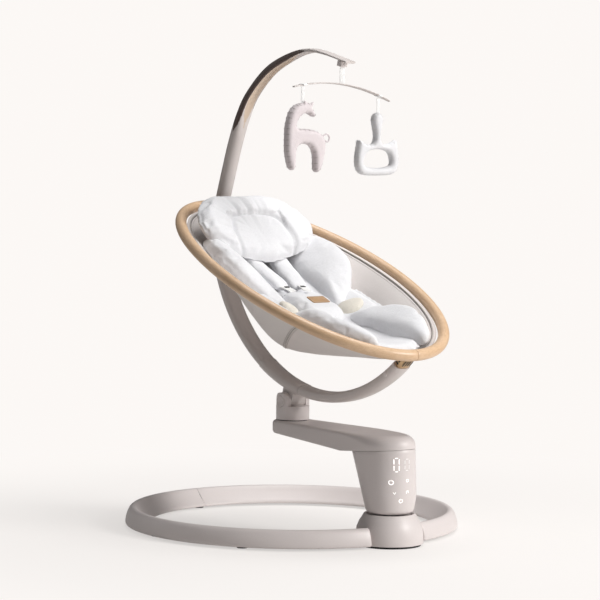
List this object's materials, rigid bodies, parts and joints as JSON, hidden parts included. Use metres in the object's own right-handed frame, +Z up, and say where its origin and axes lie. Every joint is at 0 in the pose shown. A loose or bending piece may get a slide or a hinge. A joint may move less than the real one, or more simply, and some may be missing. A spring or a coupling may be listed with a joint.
{
  "type": "electric baby swing",
  "caption": "Electric baby swing: ring base with drive pod, swaying column and arm, turning hub, C-frame, oval wooden seat ring with fabric sling and padded insert, toy mobile.",
  "frame": {"origin": "on the floor under the drive pod, on the column's vertical sway axis", "axes": "+Z up, +Y from the column towards the hub and the head end of the seat, +X to the baby's left"},
  "size_m": [0.6196, 0.6598, 0.8883],
  "materials": {
    "plastic": "satin greige",
    "tube": "satin powder coat",
    "rubber": "matte",
    "steel": "machined",
    "copper": "enamelled winding on a plastic bobbin",
    "board": "solder mask",
    "black": "moulded",
    "brass": "satin",
    "wood": "clear satin lacquer on beech",
    "sling": "fine mesh weave",
    "white": "soft brushed jersey over wadding",
    "cream": "soft brushed jersey",
    "leather": "tan, edge stained",
    "ribbon": "woven ribbon",
    "knit": "fine knit"
  },
  "bodies": {
    "base": {"base_ring_left": "plastic", "base_ring_right": "plastic", "ring_joint_dowel": "steel", "ring_foot_1": "rubber", "ring_foot_2": "rubber", "ring_foot_3": "rubber", "ring_foot_4": "rubber", "ring_foot_5": "rubber", "pod_housing": "plastic", "pod_base_plate": "steel", "pod_rubber_pad": "rubber", "main_bearing": "steel", "drive_coil": "copper", "control_board": "board", "power_inlet": "black"},
    "arm": {"column_cup": "plastic", "column_shaft": "steel", "drive_lever": "steel", "drive_magnet": "steel", "display_board": "board", "arm_upper_shell": "plastic", "arm_lower_cover": "plastic", "arm_screw_1": "steel", "arm_screw_2": "steel", "hub_spindle": "steel"},
    "hub": {"hub_tower": "plastic", "hub_washer": "rubber", "pivot_pin": "steel"},
    "recline_button": {"recline_button": "plastic"},
    "seat": {"frame_saddle": "tube", "frame_tube_head": "tube", "frame_tube_foot": "tube", "foot_bracket": "brass", "head_bracket": "plastic", "seat_ring_left": "wood", "seat_ring_right": "wood", "seat_sling": "sling", "body_liner": "white", "side_wing_left": "white", "side_wing_right": "white", "leg_cushion_left": "white", "leg_cushion_right": "white", "head_pillow": "white", "head_pad": "white", "shoulder_pad_left": "white", "shoulder_pad_right": "white", "crotch_pad": "white", "crotch_label": "leather", "waist_pad_left": "cream", "waist_pad_right": "cream"},
    "release_button": {"release_button": "plastic"},
    "mobile": {"mobile_arm": "tube", "mobile_clip": "plastic"},
    "toy_bar": {"bar_strap": "ribbon", "toy_bar": "tube"},
    "animal": {"animal_strap": "ribbon", "animal_toy": "knit"},
    "cat_ring": {"ring_strap": "ribbon", "cat_ring_toy": "white"}
  },
  "joints": [
    {"name": "arm_swing", "type": "hinge", "parent": "base", "child": "arm", "pos_m": [0, 0, 0.05], "axis": [0, 0, 1], "range_deg": [-16, 16]},
    {"name": "seat_turn", "type": "hinge", "parent": "arm", "child": "hub", "pos_m": [0, 0.278, 0.2], "axis": [0, 0, 1], "continuous": true},
    {"name": "recline_button_press", "type": "slide", "parent": "hub", "child": "recline_button", "axis": [1, 0, 0], "range_m": [0, 0.003], "stiffness_N_per_m": 400, "springref_m": -0.002},
    {"name": "seat_recline", "type": "hinge", "parent": "hub", "child": "seat", "pos_m": [0, 0.278, 0.235], "axis": [1, 0, 0], "range_deg": [-10, 10]},
    {"name": "release_button_press", "type": "slide", "parent": "seat", "child": "release_button", "axis": [1, 0, 0], "range_m": [0, 0.002], "stiffness_N_per_m": 300, "springref_m": -0.001},
    {"name": "mobile_swivel", "type": "hinge", "parent": "seat", "child": "mobile", "pos_m": [0, 0.5003, 0.5928], "axis": [0, -0.3185, 0.9479], "range_deg": [-90, 90]},
    {"name": "toy_bar_turn", "type": "hinge", "parent": "mobile", "child": "toy_bar", "pos_m": [0, 0.148, 0.852], "axis": [0, 0, 1], "continuous": true},
    {"name": "animal_swing", "type": "hinge", "parent": "toy_bar", "child": "animal", "pos_m": [-0.0925, 0.148, 0.82164], "axis": [1, 0, 0], "range_deg": [-35, 35]},
    {"name": "cat_ring_swing", "type": "hinge", "parent": "toy_bar", "child": "cat_ring", "pos_m": [0.087, 0.148, 0.80359], "axis": [1, 0, 0], "range_deg": [-35, 35]}
  ]
}
